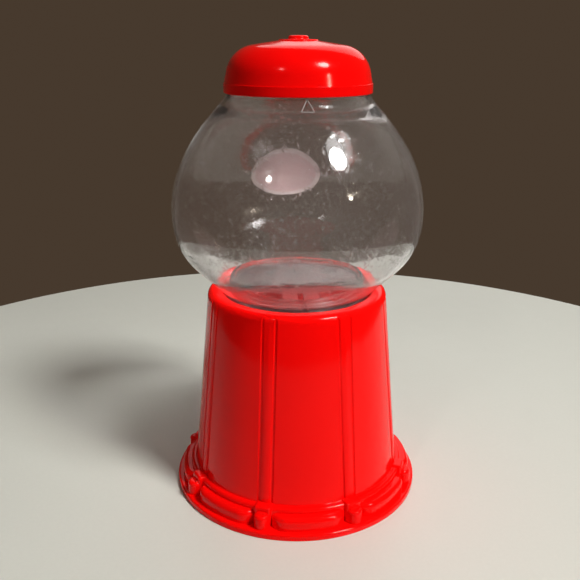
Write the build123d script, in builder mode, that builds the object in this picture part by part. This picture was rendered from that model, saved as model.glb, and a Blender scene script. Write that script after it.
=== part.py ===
from build123d import *
import os
from math import cos, pi, radians, sin, tan

# Toy gumball bank: a clear globe with a lid, on a fluted base that holds a turn-knob dispenser.
# Millimetres. +Z up, -Y is the front with the knob, origin on the floor under the globe's axis.

# ---------------------------------------------------------------- driving dimensions
flange_r = 79.0            # foot flange
flange_h = 4.0
wall = 2.2                 # moulded wall of the base
body_foot_r = 67.5         # fluted body, just above the flange
body_top_r = 55.3          # fluted body, at the shoulder
shoulder_z = 130.8
shoulder_round = 4.5
panel_n = 8                # panels, ribs, swags and ties round the body
first_rib_deg = -90 + 180 / panel_n

globe_r = 75.1             # widest part of the globe
globe_equator_z = 176.0
globe_wall = 1.8
neck_r = 40.6              # outside of the globe's filling neck
neck_z = 256.0             # its rim
lid_r = 42.9
lid_foot_z = 248.1
lid_top_z = 276.5
height = 279.4             # floor to the top of the lid's button

ball_r = 8.0               # a 16 mm gumball
shaft_z = 90.0             # axis of the knob's shaft
shaft_r = 3.0
gear_module = 0.9
pinion_teeth = 9
crown_teeth = 36           # four turns of the knob turn the wheel once

front_y = 66.5             # flat face of the portal, measured forward from the axis
deck_z = 118.0             # top of the hopper deck
wheel_r = 39.0
pocket_n = 4
pocket_ring_r = 29.0       # the wheel's pockets and the drop hole

# ---------------------------------------------------------------- worked-out sizes
gap = 0.35                 # between pieces that move past each other
fit = 0.06                 # radial running fit of a pin or shaft
screw_r = 1.2              # shanks of all screws
tapped_r = 1.25            # hole that a screw cuts its thread in
clear_r = 1.35             # hole that a screw passes through
pocket_r = ball_r + 1.0
tube_r = ball_r + 1.6      # inside of the ball chute
tube_wall = 1.2
wheel_bottom_z = deck_z + gap
wheel_top_z = wheel_bottom_z + 12.8
cup_floor_z = wheel_top_z + 0.8
cup_floor_t = 2.0
cup_h = 17.8               # from the deck to just under the cup's rounded rim
cup_r = wheel_r + 2.7      # outside of the hopper cup
foot_r = 44.2              # outside of the globe's foot ring
foot_z = deck_z + 1.2      # its lower end, on the gasket
throat_r = 46.5            # opening in the base's shoulder
throat_z = 119.0
drop_x = pocket_ring_r * sin(radians(45))
drop_y = -pocket_ring_r * cos(radians(45))
pinion_r = gear_module * pinion_teeth / 2
crown_r = gear_module * crown_teeth / 2
mesh_z = shaft_z + pinion_r

portal_w = 36.4            # flat frame on the front panel
portal_z = 28.0
portal_arch_z = 96.0       # where its round top starts
mouth_w = 22.0             # chute mouth
mouth_z = 35.0
slot_z = shaft_z + 11.0    # coin slot
slot_w = 26.4
slot_h = 3.2
flap_pin_y = front_y + 4.1
flap_pin_z = 60.5
frame_screws = [(side * x, z) for side in (-1, 1) for x, z in ((13.1, 81.0), (7.5, 106.3))]


def body_r(z):
    """Outside radius of the tapered body at height z."""
    return body_foot_r + (body_top_r - body_foot_r) * (z - flange_h) / (shoulder_z - flange_h)


def ahead(distance):
    """The upright plane this far in front of the axis. Its normal points to the front."""
    return Plane.XZ.offset(distance)


def arch(width, low_z, arch_z):
    """A flat-bottomed outline with a half-round top, centred on x = 0."""
    half = width / 2
    with BuildSketch() as outline:
        with BuildLine():
            Polyline((-half, arch_z), (-half, low_z), (half, low_z), (half, arch_z))
            ThreePointArc((half, arch_z), (0, arch_z + half), (-half, arch_z))
        make_face()
    return outline.sketch


def d_section(radius):
    """A round section with one flat, for a knob or wheel that turns with its shaft."""
    with BuildSketch() as outline:
        Circle(radius)
        with Locations((0, radius * 0.75)):
            Rectangle(3 * radius, radius, align=(Align.CENTER, Align.MIN), mode=Mode.SUBTRACT)
    return outline.sketch


def screw(length, head_r, head_h):
    """A pan-head screw pointing down -Z, its head standing on the plane z = 0."""
    with BuildPart() as one:
        with BuildSketch():
            Circle(head_r)
        extrude(amount=head_h)
        fillet(one.edges().group_by(Axis.Z)[-1], head_h * 0.45)
        with BuildSketch():
            Circle(screw_r)
        extrude(amount=-length)
        chamfer(one.edges().group_by(Axis.Z)[0], screw_r * 0.4)
        with BuildSketch(Plane.XY.offset(head_h)):
            Rectangle(head_r * 1.2, head_r * 0.28)
            Rectangle(head_r * 0.28, head_r * 1.2)
        extrude(amount=-head_h * 0.5, mode=Mode.SUBTRACT)
    return one.part


def write(part, name):
    """Label a finished piece and write its STEP file."""
    part.label = name
    export_step(part, f"parts/{name}.step")


os.makedirs("parts", exist_ok=True)

# ---------------------------------------------------------------- base shell
ledge_z = 15.3             # top of the swags' inner roll
ledge_r = 70.0
swag_z = 12.3              # top of the outer roll
swag_r = 75.6
swag_half_deg = 19.0       # each outer roll reaches this far to each side
swag_end_round = 9.0
rib_r = 7.0                # ribs are the crowns of rods that lie in the wall
rib_crown = 0.8            # how far a rib stands out at its foot
rib_top_crown = 0.1        # and where it fades into the shoulder
groove_r = 1.15
groove_out = -0.25         # depth of a groove's axis, which lies just outside the surface
groove_side = 3.9          # from a rib's middle to the groove on each side
tie_top_z = 16.4
tie_top_r = 72.4           # how far out the ties' collars reach
tie_neck_z = 13.6
tie_end_z = 12.6
tie_end_r = 4.8
tie_ring_r = 72.5
post_r = 51.2              # posts for the deck's screws
post_deg = 22.5
lug_r = 61.4               # posts for the bottom plate's screws
lug_deg = 45.0
lug_z = 4.65               # just above the bottom plate
lug_h = 20.0
portal_depth = 14.0
bush_hole_r = 4.7
lip_t = 2.0                # lip that hangs round the throat


def wall_rod(radius, low_depth, high_depth, side, low_z, high_z):
    """A round-ended rod up the tapered wall on +X. The depths of its axis are under the surface."""
    foot = Vector(body_r(low_z) - low_depth, side, low_z)
    top = Vector(body_r(high_z) - high_depth, side, high_z)
    with BuildPart() as rod:
        with BuildSketch(Plane(foot, z_dir=top - foot)):
            Circle(radius)
        extrude(amount=(top - foot).length)
        with Locations(top):
            Sphere(radius)
    return rod.part


def block(outline, top_z, rounding):
    """A boss that stands on the flange, with its upper edges rounded."""
    with BuildPart() as boss:
        with BuildSketch(Plane.XY.offset(flange_h - 1)):
            add(outline)
        extrude(amount=top_z - flange_h + 1)
        fillet(boss.edges().group_by(Axis.Z)[-1], rounding)
    return boss.part


with BuildSketch() as swag_outline:
    Circle(swag_r)
    with BuildLine():
        swag_side = tan(radians(swag_half_deg))
        Polyline(
            (body_top_r, -body_top_r * swag_side),
            (flange_r, -flange_r * swag_side),
            (flange_r, flange_r * swag_side),
            (body_top_r, body_top_r * swag_side),
            close=True,
        )
    make_face(mode=Mode.INTERSECT)
    fillet(swag_outline.vertices().sort_by(Axis.X)[-2:], swag_end_round)
swag = block(swag_outline.sketch, swag_z, 3.2)

with BuildSketch() as tie_end_outline:
    with Locations((tie_ring_r, 0)):
        Circle(tie_end_r)
with BuildSketch() as tie_neck_outline:
    with Locations((tie_ring_r - 3.2, 0)):
        Rectangle(9, 6.6)
with BuildSketch() as tie_collar_outline:
    with Locations((tie_top_r, 0)):
        RectangleRounded(8.0, 10.4, 1.6, align=(Align.MAX, Align.CENTER))
with BuildPart() as tie:
    add(block(tie_end_outline.sketch, tie_end_z, 2.0))
    add(block(tie_neck_outline.sketch, tie_neck_z, 1.6))
    add(block(tie_collar_outline.sketch, tie_top_z, 1.5))

rib = wall_rod(rib_r, rib_r - rib_crown, rib_r - rib_top_crown, 0, ledge_z, shoulder_z - 8)
grooves = [
    wall_rod(groove_r, groove_out, groove_out, side * groove_side, ledge_z - 2, shoulder_z + 2)
    for side in (-1, 1)
]

with BuildPart() as portal:
    with BuildSketch(ahead(front_y)):
        add(arch(portal_w, portal_z, portal_arch_z))
    extrude(amount=-portal_depth)
    fillet(portal.faces().sort_by(Axis.Y)[0].edges(), 1.2)

with BuildPart() as base_shell:
    with BuildSketch(Plane.XZ):
        with BuildLine():
            FilletPolyline(
                (throat_r, 0),
                (flange_r, 0),
                (flange_r, flange_h),
                (ledge_r, flange_h),
                (ledge_r, ledge_z),
                (body_r(ledge_z), ledge_z),
                (body_top_r, shoulder_z),
                (throat_r, shoulder_z),
                radius=[0, 0.6, 1.3, 0.5, 1.9, 0.8, shoulder_round, 1.6],
                close=True,
            )
        make_face()
    revolve(axis=Axis.Z)
    with PolarLocations(0, panel_n, start_angle=-90):
        add(swag)
    with PolarLocations(0, panel_n, start_angle=first_rib_deg):
        add(rib)
        add(grooves, mode=Mode.SUBTRACT)
        add(tie.part)
    add(portal.part)
    # the hollow inside, which narrows to the throat and leaves a lip hanging round it
    with BuildSketch(Plane.XZ):
        with BuildLine():
            FilletPolyline(
                (0, 0),
                (body_r(0) - wall, 0),
                (body_top_r - wall, shoulder_z - wall),
                (throat_r + lip_t, shoulder_z - wall),
                (throat_r + lip_t, throat_z),
                (throat_r, throat_z),
                (throat_r, shoulder_z),
                (0, shoulder_z),
                radius=[0, 0, 2, 1, 0.5, 0.5, 0, 0],
                close=True,
            )
        make_face()
    revolve(axis=Axis.Z, mode=Mode.SUBTRACT)
    with BuildSketch(ahead(front_y - wall)):
        add(arch(portal_w - 2 * wall, portal_z + wall, portal_arch_z))
    extrude(amount=-portal_depth, mode=Mode.SUBTRACT)
    # openings in the portal's flat face
    with BuildSketch(ahead(front_y - wall - 1)):
        add(arch(mouth_w, mouth_z, mouth_z + mouth_w / 2))
        with Locations((0, shaft_z)):
            Circle(bush_hole_r)
        with Locations((0, slot_z)):
            Rectangle(slot_w, slot_h)
        with Locations(*frame_screws):
            Circle(clear_r)
    extrude(amount=wall + 2, mode=Mode.SUBTRACT)
    # posts for screws
    with BuildSketch(Plane.XY.offset(deck_z)):
        with PolarLocations(post_r, 4, start_angle=post_deg):
            Circle(2.9)
    extrude(amount=shoulder_z - wall / 2 - 1 - deck_z)
    with BuildSketch(Plane.XY.offset(deck_z)):
        with PolarLocations(post_r, 4, start_angle=post_deg):
            Circle(tapped_r)
    extrude(amount=9, mode=Mode.SUBTRACT)
    with BuildSketch(Plane.XY.offset(lug_z)):
        with PolarLocations(lug_r, 4, start_angle=lug_deg):
            Circle(4)
            Rectangle(2, 9)
    extrude(amount=lug_h)
    with BuildSketch(Plane.XY.offset(lug_z)):
        with PolarLocations(lug_r, 4, start_angle=lug_deg):
            Circle(tapped_r)
    extrude(amount=12, mode=Mode.SUBTRACT)
    # shallow recess under the flange
    with BuildSketch():
        Circle(75.5)
        Circle(69, mode=Mode.SUBTRACT)
    extrude(amount=1.8, mode=Mode.SUBTRACT)
write(base_shell.part, "base_shell")

# ---------------------------------------------------------------- hopper deck, cup and gasket
deck_t = 2.5
deck_r = 53.4
spindle_r = 4.0
bearing_r = 6.8
hub_top_z = 103.5
collar_r = tube_r + tube_wall + 0.15
tab_w = 6.0
window_y = 6.0             # the cup's floor is open behind this line

with BuildPart() as hopper_deck:
    with BuildSketch(Plane.XY.offset(deck_z - deck_t)):
        Circle(deck_r)
    extrude(amount=deck_t)
    with BuildSketch(Plane.XY.offset(hub_top_z + gap)):
        Circle(bearing_r)
    extrude(amount=deck_z - 1 - hub_top_z)
    with BuildSketch(Plane.XY.offset(deck_z - 8)):
        with Locations((drop_x, drop_y)):
            Circle(collar_r + 1.5)
            Circle(collar_r, mode=Mode.SUBTRACT)
    extrude(amount=7)
    with BuildSketch(Plane.XY.offset(hub_top_z)):
        Circle(spindle_r + fit)
        with Locations((drop_x, drop_y)):
            Circle(tube_r)
        with PolarLocations(post_r, 4, start_angle=post_deg):
            Circle(clear_r)
        with PolarLocations(cup_r - 1, 3, start_angle=30):
            Rectangle(2.4, tab_w + 0.4)
    extrude(amount=deck_z, mode=Mode.SUBTRACT)
write(hopper_deck.part, "hopper_deck")

with BuildPart() as deck_screws:
    with PolarLocations(post_r, 4, start_angle=post_deg):
        with Locations(Location((0, 0, deck_z - deck_t), (180, 0, 0))):
            add(screw(9, 2.3, 1.5))
write(deck_screws.part, "deck_screws")

with BuildPart() as hopper_cup:
    with BuildSketch(Plane.XY.offset(deck_z + 0.1)):
        Circle(cup_r)
        Circle(cup_r - 2, mode=Mode.SUBTRACT)
    extrude(amount=cup_h)
    with Locations((0, 0, deck_z + cup_h + 0.1)):
        Torus(cup_r - 0.9, 1.1)
    with Locations([(0, 0, deck_z + cup_h - drop) for drop in (2.1, 3.9, 5.7)]):
        Torus(cup_r - 0.2, 0.6)
    with BuildSketch(Plane.XY.offset(cup_floor_z)):
        Circle(cup_r - 1)
        with BuildSketch(mode=Mode.SUBTRACT):
            Circle(cup_r - 3.6)
            with Locations((0, window_y)):
                Rectangle(3 * cup_r, 3 * cup_r, align=(Align.CENTER, Align.MAX), mode=Mode.SUBTRACT)
    extrude(amount=cup_floor_t)
    with BuildSketch(Plane.XY.offset(deck_z + 1)):
        with PolarLocations(cup_r - 1, 3, start_angle=30):
            Rectangle(1.8, tab_w)
    extrude(amount=-4.5)
write(hopper_cup.part, "hopper_cup")

with BuildPart() as globe_gasket:
    with BuildSketch(Plane.XY.offset(deck_z + 0.05)):
        Circle(foot_r + 0.6)
        Circle(foot_r - 1.7, mode=Mode.SUBTRACT)
    extrude(amount=foot_z - deck_z - 0.1)
write(globe_gasket.part, "globe_gasket")

# ---------------------------------------------------------------- globe and its label
globe_foot_top_z = 129.2
globe_curve = [            # outside of the globe from its foot to its neck, as (radius, height)
    (foot_r, globe_foot_top_z),
    (55.8, 140.4),
    (69.2, 155.0),
    (globe_r, globe_equator_z),
    (70.9, 203.0),
    (53.3, 232.6),
    (42.6, 245.0),
    (neck_r, 249.8),
]


def beside(curve, amount, first=0.0, last=1.0):
    """Points this far to the left of a curve, between two places along it."""
    points = []
    for step in range(10):
        place = first + (last - first) * step / 9
        along = curve % place
        points.append(curve @ place + Vector(-along.Y, along.X) * amount)
    return points


with BuildLine() as globe_line:
    Spline(*globe_curve, tangents=[(1.2, 1), (0, 1)])
globe_side = globe_line.edges()[0]

with BuildPart() as globe:
    with BuildSketch(Plane.XZ):
        with BuildLine():
            inner = beside(globe_side, globe_wall)
            add(globe_side)
            Polyline(globe_side @ 1, (neck_r, neck_z), (neck_r - globe_wall, neck_z), inner[-1])
            Spline(*inner, tangents=[globe_side % 0, globe_side % 1])
            Polyline(
                inner[0],
                (foot_r - globe_wall, globe_foot_top_z),
                (foot_r - globe_wall, foot_z),
                (foot_r, foot_z),
                globe_side @ 0,
            )
        make_face()
    revolve(axis=Axis.Z)
write(globe.part, "globe")

label_z = 189.0
label_w = 49.0
label_h = 31.0
label_t = 0.25
with BuildPart() as front_label:
    with BuildSketch(Plane.XZ):
        with BuildLine():
            back = beside(globe_side, -0.04, 0.3, 0.75)
            front = beside(globe_side, -0.04 - label_t, 0.3, 0.75)
            Spline(*back, tangents=[globe_side % 0.3, globe_side % 0.75])
            Line(back[-1], front[-1])
            Spline(*front, tangents=[globe_side % 0.3, globe_side % 0.75])
            Line(front[0], back[0])
        make_face()
    revolve(axis=Axis.Z)
    with BuildSketch(ahead(0)):
        with Locations((0, label_z)):
            Ellipse(label_w / 2, label_h / 2)
    extrude(amount=flange_r, mode=Mode.INTERSECT)
write(front_label.part, "front_label")

# ---------------------------------------------------------------- lid
lid_in_r = neck_r + 0.6
band_z = 253.7
with BuildPart() as lid:
    with BuildSketch(Plane.XZ):
        with BuildLine():
            FilletPolyline(
                (lid_in_r, lid_foot_z),
                (lid_r, lid_foot_z),
                (lid_r, band_z),
                (lid_r - 0.45, band_z),
                (38.8, 272.2),
                (11.2, lid_top_z - 0.1),
                (11.0, lid_top_z + 0.6),
                (5.9, lid_top_z + 0.7),
                (5.9, height - 0.3),
                (0, height),
                (0, lid_top_z - 2.2),
                (37.2, 270.0),
                (lid_in_r, band_z),
                radius=[0.4, 0.6, 0.3, 0, 18, 0.4, 0.4, 0.4, 1.6, 0, 0, 16, 0],
                close=True,
            )
        make_face()
    revolve(axis=Axis.Z)
    with BuildSketch(Plane.XY.offset(neck_z + gap)):
        Circle(neck_r + 0.2)
        Circle(neck_r - 2.2, mode=Mode.SUBTRACT)
    extrude(amount=4.5)
write(lid.part, "lid")

# ---------------------------------------------------------------- dispensing wheel and its gear
web_z = mesh_z + gear_module * 1.1     # root plane of the crown gear's teeth
spindle_end_z = web_z + 2.0
tooth_face = 3.3

with BuildPart() as dispensing_wheel:
    with BuildSketch(Plane.XY.offset(wheel_bottom_z)):
        Circle(wheel_r)
    extrude(amount=wheel_top_z - wheel_bottom_z)
    fillet(dispensing_wheel.edges().group_by(Axis.Z)[-1], 1.2)
    with BuildSketch(Plane.XY.offset(wheel_bottom_z)):
        with PolarLocations(pocket_ring_r, pocket_n, start_angle=45):
            Circle(pocket_r)
    extrude(amount=wheel_top_z, mode=Mode.SUBTRACT)
    chamfer(
        dispensing_wheel.edges().filter_by(GeomType.CIRCLE).filter_by(
            lambda edge: abs(edge.radius - pocket_r) < 0.01 and edge.center().Z > wheel_top_z - 0.1
        ),
        0.7,
    )
    with BuildSketch(Plane.XY.offset(wheel_top_z - 4)):
        with PolarLocations(wheel_r - 10, pocket_n, start_angle=0):
            Rectangle(26, 3.4)
    extrude(amount=6, mode=Mode.SUBTRACT)
    with BuildSketch(Plane.XY.offset(spindle_end_z + 0.05)):
        Circle(spindle_r)
    extrude(amount=wheel_bottom_z - spindle_end_z + 1)
    with BuildSketch(Plane.XY.offset(spindle_end_z + 0.05)):
        Circle(tapped_r)
    extrude(amount=9, mode=Mode.SUBTRACT)
write(dispensing_wheel.part, "dispensing_wheel")

with BuildPart() as crown_gear:
    with BuildSketch(Plane.XY.offset(web_z)):
        Circle(crown_r + tooth_face / 2)
    extrude(amount=2.6)
    with BuildSketch(Plane.XY.offset(web_z + 2)):
        Circle(bearing_r - 0.3)
    extrude(amount=hub_top_z - web_z - 2)
    with BuildSketch(Plane.XY.offset(spindle_end_z)):
        Circle(spindle_r + 0.05)
    extrude(amount=hub_top_z, mode=Mode.SUBTRACT)
    with BuildSketch(Plane.XY.offset(web_z)):
        Circle(clear_r)
    extrude(amount=3, mode=Mode.SUBTRACT)
    with BuildSketch(Plane.XY.offset(web_z)):
        with PolarLocations(crown_r, crown_teeth, start_angle=-90 + 180 / crown_teeth):
            Rectangle(tooth_face, 1.25)
    extrude(amount=-1.75, taper=11)
write(crown_gear.part, "crown_gear")

with BuildPart() as gear_washer:
    with BuildSketch(Plane.XY.offset(web_z - 0.85)):
        Circle(4)
        Circle(clear_r, mode=Mode.SUBTRACT)
    extrude(amount=0.8)
write(gear_washer.part, "gear_washer")

with BuildPart() as gear_screw:
    with Locations(Location((0, 0, web_z - 0.85), (180, 0, 0))):
        add(screw(9, 2.6, 1.4))
write(gear_screw.part, "gear_screw")

# ---------------------------------------------------------------- knob shaft and what turns with it
knob_back_y = front_y + 3.1
shaft_front_y = knob_back_y + 4.0
shaft_step_y = 24.0
pinion_y = crown_r
shaft_back_y = pinion_y - tooth_face / 2 - 0.2

with BuildPart() as drive_shaft:
    with BuildSketch(ahead(shaft_step_y)):
        with Locations((0, shaft_z)):
            Circle(shaft_r)
    extrude(amount=knob_back_y - shaft_step_y)
    with BuildSketch(ahead(knob_back_y)):
        with Locations((0, shaft_z)):
            add(d_section(shaft_r))
    extrude(amount=shaft_front_y - knob_back_y)
    with BuildSketch(ahead(shaft_back_y)):
        with Locations((0, shaft_z)):
            add(d_section(1.9))
    extrude(amount=shaft_step_y - shaft_back_y)
    with BuildSketch(ahead(shaft_front_y)):
        with Locations((0, shaft_z)):
            Circle(tapped_r)
    extrude(amount=-9, mode=Mode.SUBTRACT)
write(drive_shaft.part, "drive_shaft")

with BuildSketch() as pinion_tooth:
    with BuildLine():
        Polyline(
            (pinion_r - 1.6, -0.74),
            (pinion_r - 0.2, -0.58),
            (pinion_r + 0.75, -0.3),
            (pinion_r + 0.75, 0.3),
            (pinion_r - 0.2, 0.58),
            (pinion_r - 1.6, 0.74),
            close=True,
        )
    make_face()

with BuildPart() as drive_pinion:
    with BuildSketch(ahead(pinion_y - tooth_face / 2)):
        with Locations((0, shaft_z)):
            Circle(pinion_r - gear_module * 1.15)
            with PolarLocations(0, pinion_teeth, start_angle=90):
                add(pinion_tooth.sketch)
    extrude(amount=tooth_face)
    with BuildSketch(ahead(pinion_y)):
        with Locations((0, shaft_z)):
            Circle(pinion_r - gear_module * 1.15)
    extrude(amount=shaft_step_y - 0.05 - pinion_y)
    with BuildSketch(ahead(shaft_back_y - 1)):
        with Locations((0, shaft_z)):
            add(d_section(1.95))
    extrude(amount=shaft_step_y, mode=Mode.SUBTRACT)
write(drive_pinion.part, "drive_pinion")

drum_r = 13.0
drum_back_y = 36.0
drum_front_y = front_y - wall - 3.1
coin_stop = 1.6
with BuildPart() as coin_drum:
    with BuildSketch(ahead(drum_back_y)):
        with Locations((0, shaft_z)):
            Circle(drum_r)
            Circle(shaft_r + 0.05, mode=Mode.SUBTRACT)
    extrude(amount=drum_front_y - drum_back_y)
    with BuildSketch(ahead(drum_back_y + coin_stop)):
        with Locations((0, slot_z - slot_h / 2)):
            Rectangle(3 * drum_r, drum_r, align=(Align.CENTER, Align.MIN))
    extrude(amount=drum_front_y, mode=Mode.SUBTRACT)
    # a matching flat opposite saves plastic and lets the drum clear the chute
    with BuildSketch(ahead(drum_back_y + coin_stop)):
        with Locations((0, 2 * shaft_z - slot_z + slot_h / 2)):
            Rectangle(3 * drum_r, drum_r, align=(Align.CENTER, Align.MAX))
    extrude(amount=drum_front_y - drum_back_y - 2 * coin_stop, mode=Mode.SUBTRACT)
write(coin_drum.part, "coin_drum")

ratchet_y = 26.7
ratchet_t = 3.2
ratchet_r = 9.0
ratchet_root_r = 7.2
ratchet_teeth = 12
ratchet_step = 2 * pi / ratchet_teeth


def ratchet_point(radius, turn):
    """A point on the ratchet, turned counter-clockwise from straight up."""
    return (-radius * sin(turn), shaft_z + radius * cos(turn))


with BuildPart() as ratchet_wheel:
    with BuildSketch(ahead(ratchet_y)):
        with BuildLine():
            corners = []
            for tooth in range(ratchet_teeth):
                corners.append(ratchet_point(ratchet_root_r, tooth * ratchet_step))
                corners.append(ratchet_point(ratchet_r, (tooth + 0.94) * ratchet_step))
            Polyline(*corners, close=True)
        make_face()
        with Locations((0, shaft_z)):
            Circle(shaft_r + 0.05, mode=Mode.SUBTRACT)
    extrude(amount=ratchet_t)
write(ratchet_wheel.part, "ratchet_wheel")

clip_y = ratchet_y + ratchet_t + 0.3
clip_t = 0.8
with BuildPart() as shaft_clip:
    with BuildSketch(ahead(clip_y)):
        with Locations((0, shaft_z)):
            Circle(5)
            Circle(shaft_r + 0.02, mode=Mode.SUBTRACT)
            with Locations((0, -4)):
                Rectangle(3, 4, mode=Mode.SUBTRACT)
    extrude(amount=clip_t)
write(shaft_clip.part, "shaft_clip")

knob_front_y = knob_back_y + 7.6
knob_disc_r = 8.0          # turns below the coin slot's bezel
knob_hub_r = 5.6
wing_span = 31.0
wing_w = 8.4
cap_r = 3.6
screw_seat_y = shaft_front_y + 1.35
with BuildPart() as knob:
    with BuildSketch(ahead(knob_back_y)):
        with Locations((0, shaft_z)):
            Circle(knob_disc_r)
    extrude(amount=2.6)
    fillet(knob.faces().sort_by(Axis.Y)[0].edges(), 1.0)
    with BuildPart(mode=Mode.PRIVATE) as wing:
        with BuildSketch(ahead(knob_back_y + 1)):
            with Locations((0, shaft_z)):
                SlotOverall(wing_span, wing_w)
        extrude(amount=knob_front_y - knob_back_y - 1)
        fillet(wing.faces().sort_by(Axis.Y)[0].edges(), 1.8)
    add(wing.part)
    with BuildSketch(ahead(knob_back_y + 1)):
        with Locations((0, shaft_z)):
            Circle(knob_hub_r)
    extrude(amount=knob_front_y - knob_back_y - 1)
    with BuildSketch(ahead(screw_seat_y - 0.05)):
        with Locations((0, shaft_z)):
            Circle(cap_r + 0.1)
    extrude(amount=5, mode=Mode.SUBTRACT)
    with BuildSketch(ahead(knob_back_y - 1)):
        with Locations((0, shaft_z)):
            add(d_section(shaft_r + 0.05))
    extrude(amount=screw_seat_y - 0.3 - knob_back_y, mode=Mode.SUBTRACT)
    with BuildSketch(ahead(shaft_front_y)):
        with Locations((0, shaft_z)):
            Circle(clear_r)
    extrude(amount=3, mode=Mode.SUBTRACT)
write(knob.part, "knob")

with BuildPart() as knob_screw:
    with Locations(Location((0, -screw_seat_y, shaft_z), (90, 0, 0))):
        add(screw(9, 2.6, 1.3))
write(knob_screw.part, "knob_screw")

with BuildPart() as knob_cap:
    with BuildSketch(ahead(screw_seat_y + 1.4)):
        with Locations((0, shaft_z)):
            Circle(cap_r)
    extrude(amount=2.0)
    fillet(knob_cap.faces().sort_by(Axis.Y)[0].edges(), 1.2)
write(knob_cap.part, "knob_cap")

# ---------------------------------------------------------------- mechanism frame, pawl and bush
frame_front_y = front_y - wall - 0.05
frame_t = 2.3
rear_y = 33.3
rear_t = 2.2
boss_y = clip_y + clip_t + 0.3
boss_r = 5.0
cheek_t = 1.6
shelf_w = 7.0
shelf_t = 1.8
frame_w = portal_w - 2 * wall - 1.0
frame_low_z = 79.0
cheek_low_z = 84.0
cheek_top_z = 99.0
pawl_x = -12.0
pawl_z = 102.0
pin_r = 0.95
shelf_z = 107.2

with BuildPart() as mechanism_frame:
    with BuildSketch(ahead(frame_front_y)):
        add(arch(frame_w, frame_low_z, portal_arch_z - 0.5))
        with Locations((0, slot_z)):
            Rectangle(slot_w, slot_h, mode=Mode.SUBTRACT)
        with Locations(*frame_screws):
            Circle(clear_r, mode=Mode.SUBTRACT)
    extrude(amount=-frame_t)
    with BuildSketch(ahead(rear_y)):
        with Locations((0, frame_low_z)):
            Rectangle(frame_w, 27, align=(Align.CENTER, Align.MIN))
            Rectangle(10, shelf_z + shelf_t - frame_low_z, align=(Align.CENTER, Align.MIN))
    extrude(amount=rear_t)
    with BuildSketch(ahead(rear_y)):
        with Locations(*[(side * (frame_w - cheek_t) / 2, cheek_low_z) for side in (-1, 1)]):
            Rectangle(cheek_t, cheek_top_z - cheek_low_z, align=(Align.CENTER, Align.MIN))
    extrude(amount=frame_front_y - 1 - rear_y)
    with BuildSketch(ahead(ratchet_y - 0.7)):
        with Locations((0, shelf_z)):
            Rectangle(shelf_w, shelf_t, align=(Align.CENTER, Align.MIN))
    extrude(amount=rear_y - ratchet_y + 1)
    with BuildSketch(ahead(boss_y)):
        with Locations((0, shaft_z)):
            Circle(boss_r)
    extrude(amount=rear_y + 0.3 - boss_y)
    with BuildSketch(ahead(boss_y - 0.3)):
        with Locations((0, shaft_z)):
            Circle(shaft_r + fit)
        with Locations((pawl_x, pawl_z)):
            Circle(pin_r + 0.05)
    extrude(amount=5, mode=Mode.SUBTRACT)
    with BuildSketch(ahead(frame_front_y - frame_t - 1)):
        with Locations((0, shaft_z)):
            Circle(bush_hole_r)
    extrude(amount=frame_t + 2, mode=Mode.SUBTRACT)
write(mechanism_frame.part, "mechanism_frame")

with BuildPart() as mechanism_screws:
    with Locations(*[
        Location((x, frame_t - frame_front_y + 0.02, z), (-90, 0, 0)) for x, z in frame_screws
    ]):
        add(screw(6.0, 2.1, 1.4))
write(mechanism_screws.part, "mechanism_screws")

with BuildPart() as shaft_bush:
    with BuildSketch(ahead(frame_front_y - frame_t)):
        with Locations((0, shaft_z)):
            Circle(bush_hole_r - 0.05)
    extrude(amount=front_y + 1.9 - frame_front_y + frame_t)
    with BuildSketch(ahead(front_y + 1.9)):
        with Locations((0, shaft_z)):
            Circle(6.4)
    extrude(amount=0.8)
    with BuildSketch(ahead(frame_front_y - frame_t)):
        with Locations((0, shaft_z)):
            Circle(shaft_r + fit)
    extrude(amount=12, mode=Mode.SUBTRACT)
write(shaft_bush.part, "shaft_bush")

with BuildPart() as pawl:
    with BuildSketch(ahead(ratchet_y + 0.2)):
        with Locations((pawl_x, pawl_z)):
            Circle(2.3)
        with BuildLine():
            Polyline(
                (pawl_x, pawl_z + 2.2),
                (1.8, shaft_z + ratchet_r + 3.4),
                (2.2, shaft_z + ratchet_r + 1.6),
                (0.2, shaft_z + ratchet_r + 0.4),
                (-1.2, shaft_z + ratchet_r + 1.3),
                (pawl_x, pawl_z - 2.2),
                close=True,
            )
        make_face()
        with Locations((pawl_x, pawl_z)):
            Circle(pin_r + fit, mode=Mode.SUBTRACT)
    extrude(amount=ratchet_t - 0.4)
write(pawl.part, "pawl")

with BuildPart() as pawl_pin:
    with BuildSketch(ahead(ratchet_y - 0.9)):
        with Locations((pawl_x, pawl_z)):
            Circle(1.7)
    extrude(amount=0.7)
    with BuildSketch(ahead(ratchet_y - 0.9)):
        with Locations((pawl_x, pawl_z)):
            Circle(pin_r)
    extrude(amount=rear_y + rear_t - ratchet_y + 0.9)
write(pawl_pin.part, "pawl_pin")

spring_low_z = shaft_z + ratchet_r + 4.4     # just above the pawl's back
with BuildPart() as pawl_spring:
    with BuildLine(Plane((0, -ratchet_y - ratchet_t / 2, spring_low_z))) as coil:
        Helix(pitch=0.85, height=shelf_z - 0.35 - spring_low_z, radius=1.5)
    with BuildSketch(Plane(coil.line @ 0, z_dir=coil.line % 0)):
        Circle(0.26)
    sweep(is_frenet=True)
write(pawl_spring.part, "pawl_spring")

# ---------------------------------------------------------------- front plate, flap and ball chute
plate_t = 1.8
plate_back_y = front_y + 0.05
plate_front_y = plate_back_y + plate_t
plate_w = 34.0
plate_low_z = 30.0
plate_arch_z = 95.0
tray_w = 25.0
tray_z = 33.2
tray_front_y = 77.6
tray_wall = 1.3
tray_round = 6.5
flap_w = 24.4
flap_h = 22.6
flap_t = 1.8
flap_pin_r = 1.0

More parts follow.
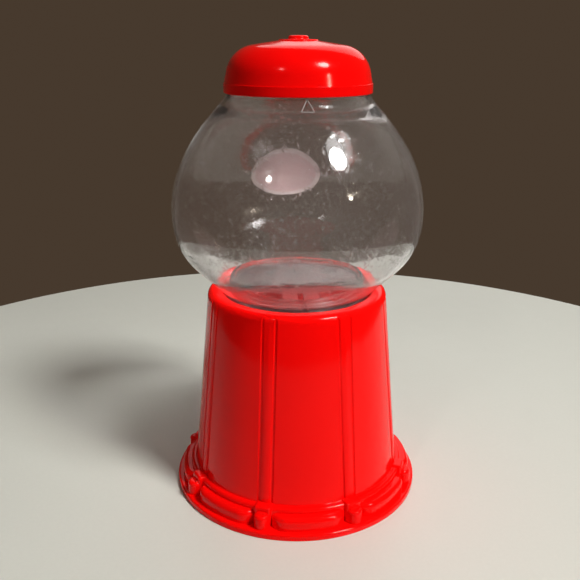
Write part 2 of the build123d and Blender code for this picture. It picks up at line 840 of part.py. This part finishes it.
with BuildPart() as tray:
    with BuildSketch(Plane.XY.offset(tray_z)):
        with BuildLine():
            FilletPolyline(
                (-tray_w / 2, 1 - plate_front_y),
                (-tray_w / 2, -tray_front_y),
                (tray_w / 2, -tray_front_y),
                (tray_w / 2, 1 - plate_front_y),
                radius=[tray_round, tray_round],
            )
            Line((tray_w / 2, 1 - plate_front_y), (-tray_w / 2, 1 - plate_front_y))
        make_face()
    extrude(amount=4.2)
    with BuildSketch(Plane.XY.offset(tray_z + 1.5)):
        with BuildLine():
            FilletPolyline(
                (tray_wall - tray_w / 2, 3 - plate_front_y),
                (tray_wall - tray_w / 2, tray_wall - tray_front_y),
                (tray_w / 2 - tray_wall, tray_wall - tray_front_y),
                (tray_w / 2 - tray_wall, 3 - plate_front_y),
                radius=[tray_round - tray_wall, tray_round - tray_wall],
            )
            Line(
                (tray_w / 2 - tray_wall, 3 - plate_front_y),
                (tray_wall - tray_w / 2, 3 - plate_front_y),
            )
        make_face()
    extrude(amount=5, mode=Mode.SUBTRACT)

with BuildPart() as front_plate:
    with BuildSketch(ahead(plate_back_y)):
        add(arch(plate_w, plate_low_z, plate_arch_z))
    extrude(amount=plate_t)
    with BuildSketch(ahead(plate_front_y - 0.1)):
        add(arch(plate_w, plate_low_z, plate_arch_z))
        add(arch(plate_w - 3, plate_low_z + 1.5, plate_arch_z), mode=Mode.SUBTRACT)
        with Locations((0, shaft_z)):
            Circle(12.6)
            Circle(11.4, mode=Mode.SUBTRACT)
    extrude(amount=0.9)
    with BuildSketch(ahead(plate_front_y - 0.1)):
        with Locations((0, slot_z + 0.6)):
            RectangleRounded(29.4, 6.6, 1.5)
    extrude(amount=1.3)
    with BuildSketch(ahead(plate_back_y - 0.1)):
        add(arch(mouth_w, mouth_z, mouth_z + mouth_w / 2))
        with Locations((0, shaft_z)):
            Circle(bush_hole_r)
        with Locations((0, slot_z)):
            Rectangle(slot_w, slot_h)
    extrude(amount=5, mode=Mode.SUBTRACT)
    with BuildSketch(ahead(plate_back_y - 0.1)):
        with Locations(*frame_screws):
            Circle(tapped_r)
    extrude(amount=plate_t - 0.3, mode=Mode.SUBTRACT)
    add(tray.part)
    for side in (-1, 1):
        with BuildSketch(Plane.YZ.offset(side * (flap_w / 2 + 1.4))):
            with Locations((-flap_pin_y, flap_pin_z)):
                Circle(2.3)
                Rectangle(3, 4.6, align=(Align.MIN, Align.CENTER))
                Circle(flap_pin_r + 0.05, mode=Mode.SUBTRACT)
        extrude(amount=1, both=True)
write(front_plate.part, "front_plate")

flap_back_y = flap_pin_y - 1.4
with BuildPart() as chute_flap:
    with BuildSketch(Plane.YZ.offset(-flap_w / 2)):
        with Locations((-flap_pin_y, flap_pin_z)):
            Circle(1.9)
        with Locations((-flap_back_y, flap_pin_z)):
            Rectangle(flap_t, flap_h, align=(Align.MAX, Align.MAX))
    extrude(amount=flap_w)
    with BuildSketch(ahead(flap_back_y + flap_t - 0.3)):
        with Locations((0, flap_pin_z - flap_h + 4)):
            SlotOverall(12, 2.4)
    extrude(amount=1.6)
    with BuildSketch(Plane.YZ.offset(-flap_w)):
        with Locations((-flap_pin_y, flap_pin_z)):
            Circle(flap_pin_r + 0.08)
    extrude(amount=2 * flap_w, mode=Mode.SUBTRACT)
write(chute_flap.part, "chute_flap")

with BuildPart() as flap_pin:
    with BuildSketch(Plane.YZ):
        with Locations((-flap_pin_y, flap_pin_z)):
            Circle(flap_pin_r)
    extrude(amount=flap_w / 2 + 2.6, both=True)
write(flap_pin.part, "flap_pin")

chute_end_y = front_y - wall - 0.05
chute_route = [
    (drop_x, drop_y, deck_z - deck_t - 0.2),
    (drop_x, drop_y, 76.0),
    (0, -50.0, 49.0),
    (0, -70.0, 44.8),
]
chute_bends = [16, 12]
with BuildPart() as ball_chute:
    with BuildLine() as route:
        FilletPolyline(*chute_route, radius=chute_bends)
    with BuildSketch(Plane(route.line @ 0, z_dir=route.line % 0)):
        Circle(tube_r + tube_wall)
    sweep()
    with BuildSketch(ahead(chute_end_y - 1.6)):
        with Locations((0, mouth_z - 1.5)):
            Rectangle(27, 25, align=(Align.CENTER, Align.MIN))
    extrude(amount=1.6)
    with BuildLine() as bore_route:
        FilletPolyline(*chute_route, radius=chute_bends)
    with BuildSketch(Plane(bore_route.line @ 0, z_dir=bore_route.line % 0)):
        Circle(tube_r)
    sweep(mode=Mode.SUBTRACT)
    with BuildSketch(ahead(chute_end_y)):
        with Locations((0, mouth_z)):
            Rectangle(60, 60)
    extrude(amount=20, mode=Mode.SUBTRACT)
write(ball_chute.part, "ball_chute")

# ---------------------------------------------------------------- bottom plate and coin door
plate_z = 2.0
floor_t = 2.6
door_r = 21.8
door_lug_r = 24.2
door_rim_z = 0.7           # the door stays clear of the shelf
with BuildPart() as bottom_plate:
    with BuildSketch(Plane.XY.offset(plate_z)):
        Circle(body_r(plate_z) - wall - 0.8)
        with PolarLocations(lug_r, 4, start_angle=lug_deg):
            Circle(clear_r, mode=Mode.SUBTRACT)
    extrude(amount=floor_t)
    with BuildSketch(Plane.XY.offset(plate_z + floor_t - 0.5)):
        Circle(28)
        Circle(26, mode=Mode.SUBTRACT)
        with PolarLocations(41, panel_n, start_angle=0):
            Rectangle(28, 1.6)
    extrude(amount=4.5)
    with BuildSketch(Plane.XY.offset(plate_z - 1)):
        Circle(door_r + gap)
        with Locations((0, door_r), (0, -door_r)):
            Rectangle(9.4, 2 * (door_lug_r - door_r) + 1.4)
    extrude(amount=floor_t + 6, mode=Mode.SUBTRACT)
write(bottom_plate.part, "bottom_plate")

with BuildPart() as bottom_screws:
    with PolarLocations(lug_r, 4, start_angle=lug_deg):
        with Locations(Location((0, 0, plate_z), (180, 0, 0))):
            add(screw(12, 2.4, 1.4))
write(bottom_screws.part, "bottom_screws")

with BuildPart() as coin_door:
    with BuildSketch(Plane.XY.offset(door_rim_z)):
        Circle(door_r + 3.4)
    extrude(amount=plate_z - gap - door_rim_z)
    with BuildSketch(Plane.XY.offset(1)):
        Circle(door_r)
    extrude(amount=plate_z + floor_t + gap - 1)
    with BuildSketch(Plane.XY.offset(plate_z + floor_t + gap)):
        Circle(door_r)
        with Locations((door_r, 0), (-door_r, 0)):
            Rectangle(2 * (door_lug_r - door_r), 8)
    extrude(amount=1.4)
    with BuildSketch(Plane.XY.offset(door_rim_z)):
        Circle(16)
        Rectangle(40, 5, mode=Mode.SUBTRACT)
    extrude(amount=3.4, mode=Mode.SUBTRACT)
write(coin_door.part, "coin_door")
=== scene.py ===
import math

import bmesh
import bpy
from mathutils import Matrix, Vector


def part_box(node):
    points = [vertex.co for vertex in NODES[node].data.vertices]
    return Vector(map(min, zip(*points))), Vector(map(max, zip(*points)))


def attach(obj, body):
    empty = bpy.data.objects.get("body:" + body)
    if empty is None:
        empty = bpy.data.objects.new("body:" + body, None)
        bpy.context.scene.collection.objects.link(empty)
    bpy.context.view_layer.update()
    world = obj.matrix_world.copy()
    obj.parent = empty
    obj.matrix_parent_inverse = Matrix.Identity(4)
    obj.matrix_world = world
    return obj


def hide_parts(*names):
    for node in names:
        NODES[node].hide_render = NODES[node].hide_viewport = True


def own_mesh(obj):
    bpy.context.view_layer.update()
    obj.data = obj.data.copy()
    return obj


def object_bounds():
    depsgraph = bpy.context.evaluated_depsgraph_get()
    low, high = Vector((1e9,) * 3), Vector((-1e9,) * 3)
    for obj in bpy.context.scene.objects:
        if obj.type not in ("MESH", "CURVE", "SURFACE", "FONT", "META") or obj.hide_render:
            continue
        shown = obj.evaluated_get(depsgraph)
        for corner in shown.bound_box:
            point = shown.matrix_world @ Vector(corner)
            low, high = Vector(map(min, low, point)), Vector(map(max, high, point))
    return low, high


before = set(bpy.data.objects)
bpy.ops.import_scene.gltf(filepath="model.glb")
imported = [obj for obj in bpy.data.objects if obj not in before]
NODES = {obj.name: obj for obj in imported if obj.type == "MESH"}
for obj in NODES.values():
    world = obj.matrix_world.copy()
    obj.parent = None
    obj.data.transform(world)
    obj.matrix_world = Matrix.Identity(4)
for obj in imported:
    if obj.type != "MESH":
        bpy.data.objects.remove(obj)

cad_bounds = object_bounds()

# ------------------------------------------------------------------ sizes worked out from the frame
LOW, HIGH = cad_bounds
HEIGHT = HIGH.z - LOW.z
FOOT_R = (HIGH.x - LOW.x) / 2
GLOBE_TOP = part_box("globe")[1].z
LABEL_LOW, LABEL_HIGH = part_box("front_label")
UP = Vector((0, 0, 1))

# ------------------------------------------------------------------ camera
CAMERA_AZIMUTH = math.radians(173.4)   # the machine is seen from behind
CAMERA_DISTANCE = 5.509 * FOOT_R       # from the globe's axis, level
CAMERA_HEIGHT = 3.509 * FOOT_R
CAMERA_TILT = math.radians(18.92)      # below the horizon
CAMERA_TURN = math.radians(-0.56)      # aim left of the axis
CAMERA_ROLL = math.radians(0.19)
CAMERA_LENS = 45.45
SENSOR_WIDTH = 36
CLIP_START = 0.01


def add_camera():
    """The camera at the photo's viewing angle."""
    outward = Vector((math.sin(CAMERA_AZIMUTH), -math.cos(CAMERA_AZIMUTH), 0))
    aim = Matrix.Rotation(-CAMERA_TURN, 3, "Z") @ -outward
    forward = aim * math.cos(CAMERA_TILT) - UP * math.sin(CAMERA_TILT)
    right = forward.cross(UP).normalized()
    up = right.cross(forward)
    roll = Matrix.Rotation(-CAMERA_ROLL, 3, forward)
    turn = Matrix((roll @ right, roll @ up, -forward)).transposed().to_4x4()
    data = bpy.data.cameras.new("camera")
    data.lens = CAMERA_LENS
    data.sensor_width = SENSOR_WIDTH
    data.clip_start = CLIP_START
    camera = bpy.data.objects.new("camera", data)
    camera.matrix_world = Matrix.Translation(outward * CAMERA_DISTANCE + UP * CAMERA_HEIGHT) @ turn
    bpy.context.scene.collection.objects.link(camera)
    bpy.context.scene.camera = camera


# ------------------------------------------------------------------ material helpers
class Nodes:
    """Builds one node material. Uniform values are set on the shader's own sockets."""

    def __init__(self, name, **values):
        self.material = bpy.data.materials.new(name)
        self.material.use_nodes = True
        self.tree = self.material.node_tree
        self.tree.nodes.clear()
        self.output = self.add("ShaderNodeOutputMaterial")
        self.shader = self.add("ShaderNodeBsdfPrincipled")
        self.join(self.shader, "BSDF", self.output, "Surface")
        for socket, value in values.items():
            self.shader.inputs[socket.replace("_", " ")].default_value = value
        self.place = self.add("ShaderNodeTexCoord")

    def add(self, kind, **values):
        node = self.tree.nodes.new(kind)
        for name, value in values.items():
            setattr(node, name, value)
        return node

    def join(self, source, output, target, socket):
        self.tree.links.new(source.outputs[output], target.inputs[socket])

    def set(self, socket, source):
        self.tree.links.new(source, self.shader.inputs[socket])

    def give(self, value, socket):
        """Feeds an input with a number, a colour or another node's socket."""
        if isinstance(value, (int, float)):
            socket.default_value = value
        elif isinstance(value, tuple):
            socket.default_value = (*value, 1)
        else:
            self.tree.links.new(value, socket)

    def coordinates(self, stretch, turn):
        """Object coordinates, stretched and turned."""
        mapping = self.add("ShaderNodeMapping")
        mapping.inputs["Scale"].default_value = stretch
        mapping.inputs["Rotation"].default_value = [math.radians(angle) for angle in turn]
        self.join(self.place, "Object", mapping, "Vector")
        return mapping

    def noise(self, scale, detail=2.0, roughness=0.5, stretch=(1, 1, 1), turn=(0, 0, 0)):
        """A noise texture; scale is in cycles per metre."""
        node = self.add("ShaderNodeTexNoise")
        node.inputs["Scale"].default_value = scale
        node.inputs["Detail"].default_value = detail
        node.inputs["Roughness"].default_value = roughness
        self.join(self.coordinates(stretch, turn), "Vector", node, "Vector")
        return node.outputs["Fac"]

    def ramp(self, source, low, high, start=0.0, end=1.0):
        """Maps source from low..high to start..end, clamped."""
        node = self.add("ShaderNodeMapRange")
        for socket, value in (("From Min", low), ("From Max", high), ("To Min", start), ("To Max", end)):
            node.inputs[socket].default_value = value
        self.tree.links.new(source, node.inputs["Value"])
        return node.outputs["Result"]

    def maths(self, operation, *values):
        """A Math node on sockets or numbers."""
        node = self.add("ShaderNodeMath", operation=operation)
        for slot, value in enumerate(values):
            self.give(value, node.inputs[slot])
        return node.outputs[0]

    def plus(self, first, second):
        return self.maths("ADD", first, second)

    def times(self, first, second):
        return self.maths("MULTIPLY", first, second)

    def blend(self, factor, first, second):
        """Mixes two colours, or colour sockets, by a factor socket."""
        node = self.add("ShaderNodeMix", data_type="RGBA")
        self.tree.links.new(factor, node.inputs[0])
        self.give(first, node.inputs[6])
        self.give(second, node.inputs[7])
        return node.outputs[2]

    def scratches(self, scale, density, turns):
        """Thin straight marks, each set running its own way: 1 on a mark, 0 elsewhere."""
        marks = None
        for turn in turns:
            streaks = self.noise(scale, detail=1.0, roughness=0.4, stretch=(1, 0.03, 1), turn=turn)
            mark = self.ramp(streaks, density, density + 0.02)
            marks = mark if marks is None else self.maths("MAXIMUM", marks, mark)
        return marks

    def bump(self, *layers):
        """Stacks bump layers, each (height socket, depth in metres)."""
        previous = None
        for height, depth in layers:
            node = self.add("ShaderNodeBump")
            node.inputs["Strength"].default_value = 1.0
            node.inputs["Distance"].default_value = depth
            self.tree.links.new(height, node.inputs["Height"])
            if previous:
                self.join(previous, "Normal", node, "Normal")
            previous = node
        self.join(previous, "Normal", self.shader, "Normal")


def dimmed(colour, share):
    return tuple(channel * share for channel in colour)


def finish_nodes(material, *names):
    """Gives CAD nodes their final material."""
    for name in names:
        for slot in NODES[name].material_slots:
            slot.material = material


# ------------------------------------------------------------------ materials
RED = (0.93, 0.0025, 0.002)
RED_DEEP = (0.86, 0.0015, 0.0015)
RED_SHEEN = (1.0, 0.42, 0.40, 1)       # tint of its mirror image
GLOBE_TINT = (0.955, 0.94, 0.945)
CUP_TINT = (0.70, 0.70, 0.70)
SCUFF_ROUGHNESS = 0.07                 # what scuffs, hairlines and drag lines add at most
HAIRLINE_ROUGHNESS = 0.12
DRAG_ROUGHNESS = 0.08


def red_plastic(name, gloss, depth, dust_and_painted_haze):
    """Glossy moulded red: slight flow shading, faint orange peel and a few hairline scratches."""
    nodes = Nodes(name, IOR=1.49, Specular_IOR_Level=0.27, Specular_Tint=RED_SHEEN)
    # A depth below 1 darkens the red as painted shade, and the grey added to every channel is a painted
    # haze standing for reflections; the shell and lid have neither.
    light = tuple(channel + dust_and_painted_haze for channel in dimmed(RED, depth))
    dark = tuple(channel + dust_and_painted_haze for channel in dimmed(RED_DEEP, depth))
    flow = nodes.noise(22, detail=3)
    marks = nodes.scratches(700, density=0.74, turns=[(20, 0, 35), (75, 10, -50)])
    haze = nodes.ramp(nodes.noise(60, detail=4, roughness=0.6), 0.35, 0.75, gloss, gloss + 0.06)
    orange_peel = nodes.noise(110, roughness=0.4)
    nodes.set("Base Color", nodes.blend(flow, light, dark))
    nodes.set("Roughness", nodes.plus(haze, nodes.times(marks, DRAG_ROUGHNESS)))
    nodes.bump((orange_peel, 0.00005), (marks, -0.000004))
    return nodes.material


def clear_plastic(name, tint, rough, ripple, shade, wear):
    """Clear plastic, a little milky: a wavy surface, scuffs and hairlines; lamps shine through it."""
    nodes = Nodes(name, IOR=1.46, Transmission_Weight=0.985, Base_Color=(*tint, 1), Sheen_Weight=0.3,
                  Sheen_Roughness=0.22)
    marks = nodes.scratches(420, density=0.685, turns=[(10, 0, 30), (80, 20, -40), (-35, 70, 10)])
    specks = nodes.ramp(nodes.noise(1000, detail=1), 0.745, 0.77)
    scuffs = nodes.ramp(nodes.noise(40, detail=4, roughness=0.6), 0.48, 0.80)
    waves = nodes.noise(20, detail=1, roughness=0.4)
    worn = nodes.plus(nodes.times(scuffs, SCUFF_ROUGHNESS), nodes.times(marks, HAIRLINE_ROUGHNESS * wear))
    nodes.set("Roughness", nodes.plus(worn, rough))
    nodes.bump((waves, ripple), (marks, -0.000014 * wear), (specks, 0.00002 * wear))
    rays = nodes.add("ShaderNodeLightPath")
    through = nodes.add("ShaderNodeBsdfTransparent")
    through.inputs["Color"].default_value = (shade, shade, shade, 1)
    mix = nodes.add("ShaderNodeMixShader")
    nodes.join(rays, "Is Shadow Ray", mix, 0)
    nodes.join(nodes.shader, "BSDF", mix, 1)
    nodes.join(through, "BSDF", mix, 2)
    nodes.join(mix, "Shader", nodes.output, "Surface")
    return nodes.material


def satin_plastic(name, colour, rough, grain):
    """Moulded plastic with a fine spark-eroded grain and a little dust in it."""
    nodes = Nodes(name, IOR=1.5)
    dust_and_painted_haze = nodes.noise(35, detail=4, roughness=0.6)
    nodes.set("Base Color", nodes.blend(dust_and_painted_haze, colour, dimmed(colour, 0.86)))
    nodes.set("Roughness", nodes.ramp(nodes.noise(90, detail=3), 0.3, 0.7, rough, rough + 0.14))
    nodes.bump((nodes.noise(2600), grain), (nodes.noise(120), 0.00004))
    return nodes.material


def bright_metal(name, colour, rough, drag):
    """Metal or metallised plastic with faint drag lines along one axis and soft smudges."""
    nodes = Nodes(name, Metallic=1.0)
    lines = nodes.noise(1400, stretch=drag)
    smudge = nodes.ramp(nodes.noise(70, detail=4, roughness=0.6), 0.35, 0.75, rough, rough + 0.12)
    nodes.set("Base Color", nodes.blend(nodes.noise(80, detail=3), colour, dimmed(colour, 0.82)))
    nodes.set("Roughness", nodes.plus(smudge, nodes.times(lines, DRAG_ROUGHNESS)))
    nodes.bump((lines, 0.000006), (nodes.noise(90), 0.00003))
    return nodes.material


PRINT_EDGE = (0.855, 0.87)             # where an edge starts and ends, as shares of the label's oval
RING_INNER = (0.74, 0.75)              # a gold line inside the print
RING_OUTER = (0.78, 0.79)
BAND_EDGE = (0.30, 0.32)               # the cream band, as shares of the label's half height
PRINT_WHITE, PRINT_RED = (0.86, 0.84, 0.80), (0.70, 0.012, 0.010)
PRINT_CREAM, PRINT_GOLD = (0.86, 0.80, 0.62), (0.86, 0.62, 0.10)
BACK_EDGE, BACK_FIELD, BACK_FIBRE = (0.60, 0.52, 0.51), (0.57, 0.40, 0.40), (0.42, 0.31, 0.31)


def label_vinyl():
    """Vinyl label: plain bands printed on the front, which show faintly through its pale back."""
    nodes = Nodes("label_vinyl", IOR=1.45)
    centre = (LABEL_LOW + LABEL_HIGH) / 2
    half = (LABEL_HIGH - LABEL_LOW) / 2
    split = nodes.add("ShaderNodeSeparateXYZ")
    nodes.join(nodes.place, "Object", split, "Vector")
    across = nodes.maths("DIVIDE", nodes.maths("SUBTRACT", split.outputs["X"], centre.x), half.x)
    up = nodes.maths("DIVIDE", nodes.maths("SUBTRACT", split.outputs["Z"], centre.z), half.z)
    reach = nodes.maths("SQRT", nodes.plus(nodes.times(across, across), nodes.times(up, up)))
    field = nodes.ramp(reach, *PRINT_EDGE, 1.0, 0.0)
    band = nodes.ramp(nodes.maths("ABSOLUTE", up), *BAND_EDGE, 1.0, 0.0)
    ring = nodes.times(nodes.ramp(reach, *RING_INNER), nodes.ramp(reach, *RING_OUTER, 1.0, 0.0))
    front = nodes.blend(field, PRINT_WHITE, PRINT_RED)
    front = nodes.blend(nodes.times(band, field), front, PRINT_CREAM)
    front = nodes.blend(ring, front, PRINT_GOLD)
    fibre = nodes.noise(160, detail=3, roughness=0.6)
    back = nodes.blend(field, BACK_EDGE, BACK_FIELD)
    back = nodes.blend(nodes.times(fibre, 0.5), back, BACK_FIBRE)
    facing = nodes.add("ShaderNodeSeparateXYZ")
    nodes.join(nodes.add("ShaderNodeNewGeometry"), "Normal", facing, "Vector")
    behind = nodes.ramp(facing.outputs["Y"], -0.05, 0.05)
    nodes.set("Base Color", nodes.blend(behind, front, back))
    nodes.set("Roughness", nodes.ramp(nodes.noise(120, detail=3), 0.3, 0.7, 0.3, 0.45))
    nodes.bump((fibre, 0.00003), (nodes.noise(2000, detail=1), 0.000004))
    return nodes.material


FLOOR_LIGHT = (0.63, 0.645, 0.59)
FLOOR_DARK = (0.585, 0.60, 0.55)


def pale_floor():
    """Satin pale worktop with a barely visible speckle."""
    nodes = Nodes("pale_floor", IOR=1.45)
    speckle = nodes.noise(420, detail=3, roughness=0.7)
    nodes.set("Base Color", nodes.blend(speckle, FLOOR_LIGHT, FLOOR_DARK))
    nodes.set("Roughness", nodes.ramp(nodes.noise(50, detail=3), 0.3, 0.7, 0.36, 0.46))
    nodes.bump((nodes.noise(600), 0.00001))
    return nodes.material


def paint_nodes(steel):
    """Each CAD node's final material."""
    finish_nodes(red_plastic("red_shell", gloss=0.07, depth=1.0, dust_and_painted_haze=0), "base_shell", "chute_flap")
    finish_nodes(red_plastic("red_lid", gloss=0.10, depth=1.0, dust_and_painted_haze=0), "lid")
    # Deck and wheel: the shell's red darkened to an eighth as painted shade under the globe and cup, plus
    # a painted grey haze for the reflections in the clear plastic in front.
    inside = red_plastic("red_inside_painted_shade_and_haze", gloss=0.3, depth=0.125, dust_and_painted_haze=0.034)
    finish_nodes(inside, "hopper_deck", "dispensing_wheel")
    globe = clear_plastic("clear_globe", GLOBE_TINT, rough=0.032, ripple=0.0005, shade=0.82, wear=1.0)
    finish_nodes(globe, "globe")
    cup = clear_plastic("clear_cup", CUP_TINT, rough=0.10, ripple=0.0001, shade=0.5, wear=0.2)
    finish_nodes(cup, "hopper_cup")
    finish_nodes(label_vinyl(), "front_label")
    silver = bright_metal("metallised", (0.78, 0.78, 0.80), rough=0.08, drag=(1, 1, 0.05))
    finish_nodes(silver, "front_plate", "knob", "knob_cap")
    finish_nodes(
        steel, "deck_screws", "gear_washer", "gear_screw", "drive_shaft", "shaft_clip", "knob_screw",
        "mechanism_screws", "pawl_pin", "flap_pin", "bottom_screws",
    )
    nylon = satin_plastic("white_nylon", (0.80, 0.78, 0.72), rough=0.38, grain=0.000004)
    finish_nodes(nylon, "crown_gear", "drive_pinion", "shaft_bush", "ratchet_wheel", "pawl", "coin_drum")
    grey = satin_plastic("grey_moulding", (0.16, 0.165, 0.175), rough=0.42, grain=0.000006)
    finish_nodes(grey, "mechanism_frame", "ball_chute")
    black = satin_plastic("black_moulding", (0.022, 0.022, 0.025), rough=0.45, grain=0.000008)
    finish_nodes(black, "bottom_plate", "coin_door")
    rubber = satin_plastic("soft_rubber", (0.05, 0.05, 0.05), rough=0.6, grain=0.000006)
    finish_nodes(rubber, "globe_gasket")


# ------------------------------------------------------------------ mesh helpers
def circle_of_points(centre, first, second, radius, corners):
    """Points round a centre, in the plane of two directions."""
    angles = [math.tau * corner / corners for corner in range(corners)]
    return [centre + (first * math.cos(angle) + second * math.sin(angle)) * radius for angle in angles]


def tube(rings, closed):
    """A smooth tube through rings of points, closed on itself or with flat ends."""
    shape = bmesh.new()
    loops = [[shape.verts.new(point) for point in ring] for ring in rings]
    following = loops[1:] + loops[:1] if closed else loops[1:]
    for ring, after in zip(loops, following):
        for corner in range(len(ring)):
            face = shape.faces.new((ring[corner], ring[corner - 1], after[corner - 1], after[corner]))
            face.smooth = True
    if not closed:
        shape.faces.new(loops[0])
        shape.faces.new(loops[-1][::-1])
    bmesh.ops.recalc_face_normals(shape, faces=shape.faces)
    return shape


def add_mesh(name, shape, material):
    """Puts a finished bmesh into the scene."""
    mesh = bpy.data.meshes.new(name)
    shape.to_mesh(mesh)
    shape.free()
    mesh.materials.append(material)
    piece = bpy.data.objects.new(name, mesh)
    bpy.context.scene.collection.objects.link(piece)
    return piece


# ------------------------------------------------------------------ pawl spring
SPRING_WIRE_R = 0.00025
SPRING_WIRE_CORNERS = 10
SPRING_TURNS = 4
SPRING_STEPS = 24      # to a turn


def add_pawl_spring(steel):
    """The pawl's coil spring, an even coil at one fixed length, in place of the CAD spring."""
    low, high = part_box("pawl_spring")
    middle = (low + high) / 2
    coil_r = (high.x - low.x) / 2 - SPRING_WIRE_R
    climb = high.z - low.z - 2 * SPRING_WIRE_R
    count = SPRING_TURNS * SPRING_STEPS
    rings = []
    for step in range(count + 1):
        angle = math.tau * step / SPRING_STEPS
        out = Vector((math.cos(angle), math.sin(angle), 0))
        centre = Vector((middle.x, middle.y, low.z + SPRING_WIRE_R + climb * step / count)) + out * coil_r
        rings.append(circle_of_points(centre, out, UP, SPRING_WIRE_R, SPRING_WIRE_CORNERS))
    coil = add_mesh("pawl_coil", tube(rings, closed=False), steel)
    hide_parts("pawl_spring")
    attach(coil, "base")
    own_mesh(coil)


# ------------------------------------------------------------------ mould mark on the globe
MARK_SIDE = 0.0070
MARK_DROP = 0.0118     # below the globe's rim
MARK_LINE_R = 0.00028
MARK_LINE_CORNERS = 8
MARK_STEPS = 8         # points along each side
MARK_COLOUR = (0.30, 0.27, 0.27)


def add_mould_mark():
    """A small raised triangle outline, moulded high on the back of the globe."""
    back = Vector((0, 1, 0))
    height = MARK_SIDE * math.sqrt(3) / 2
    corners = [(-MARK_SIDE / 2, -height / 2), (MARK_SIDE / 2, -height / 2), (0, height / 2)]
    centres = []
    for start, end in zip(corners, corners[1:] + corners[:1]):
        for step in range(MARK_STEPS):
            share = step / MARK_STEPS
            x = start[0] + (end[0] - start[0]) * share
            z = GLOBE_TOP - MARK_DROP + start[1] + (end[1] - start[1]) * share
            hit = NODES["globe"].ray_cast(Vector((x, 2 * FOOT_R, z)), -back)
            centres.append(hit[1])
    rings = []
    for index, centre in enumerate(centres):
        along = (centres[(index + 1) % len(centres)] - centres[index - 1]).normalized()
        across = along.cross(back).normalized()
        out = across.cross(along)
        rings.append(circle_of_points(centre, out, across, MARK_LINE_R, MARK_LINE_CORNERS))
    finish = satin_plastic("mould_mark", MARK_COLOUR, rough=0.3, grain=0.000002)
    mark = add_mesh("mould_mark", tube(rings, closed=True), finish)
    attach(mark, "base")


# ------------------------------------------------------------------ floor and light
FLOOR_R = 5.7 * FOOT_R
FLOOR_CORNERS = 256
AIM_HEIGHT = 0.6 * HEIGHT              # the lamps are aimed at the globe's lower half
SURROUND = (0.063, 0.042, 0.027, 1)    # a dim warm wall


def add_floor():
    """A plain round pale floor."""
    shape = bmesh.new()
    bmesh.ops.create_circle(shape, cap_ends=True, segments=FLOOR_CORNERS, radius=FLOOR_R)
    bmesh.ops.translate(shape, verts=shape.verts, vec=(0, 0, LOW.z))
    floor = add_mesh("floor", shape, pale_floor())


def add_lamp(name, azimuth, elevation, distance, size, power, colour):
    """An area lamp aimed at the machine; azimuth runs from +Y towards +X, in degrees."""
    data = bpy.data.lights.new(name, "AREA")
    data.shape = "DISK"
    data.size = size
    data.energy = power
    data.color = colour
    lamp = bpy.data.objects.new(name, data)
    a, e = math.radians(azimuth), math.radians(elevation)
    direction = Vector((math.sin(a) * math.cos(e), math.cos(a) * math.cos(e), math.sin(e)))
    lamp.location = UP * AIM_HEIGHT + direction * distance
    lamp.rotation_euler = direction.to_track_quat("Z", "Y").to_euler()
    bpy.context.scene.collection.objects.link(lamp)


def add_light():
    """Soft studio light: a broad key high on the right of the view, small accents and a dim surround."""
    white, warm, amber = (1.0, 0.99, 0.97), (1.0, 0.98, 0.95), (1.0, 0.90, 0.72)
    add_lamp("key", azimuth=-45, elevation=49, distance=2.3, size=0.56, power=60, colour=white)
    add_lamp("accent", azimuth=-42, elevation=21, distance=1.6, size=0.12, power=2.6, colour=amber)
    add_lamp("fill", azimuth=36, elevation=38, distance=2.0, size=0.16, power=3.2, colour=warm)
    add_lamp("front", azimuth=200, elevation=34, distance=2.4, size=2.0, power=9, colour=warm)
    world = bpy.data.worlds.new("surround")
    world.use_nodes = True
    backdrop = world.node_tree.nodes["Background"]
    backdrop.inputs["Color"].default_value = SURROUND
    backdrop.inputs["Strength"].default_value = 1.0
    bpy.context.scene.world = world
    bpy.context.scene.view_settings.view_transform = "Standard"


# ------------------------------------------------------------------ build
zinc_steel = bright_metal("zinc_steel", (0.60, 0.60, 0.58), rough=0.28, drag=(0.05, 1, 1))
add_camera()
paint_nodes(zinc_steel)
add_pawl_spring(zinc_steel)
add_mould_mark()
add_floor()
add_light()
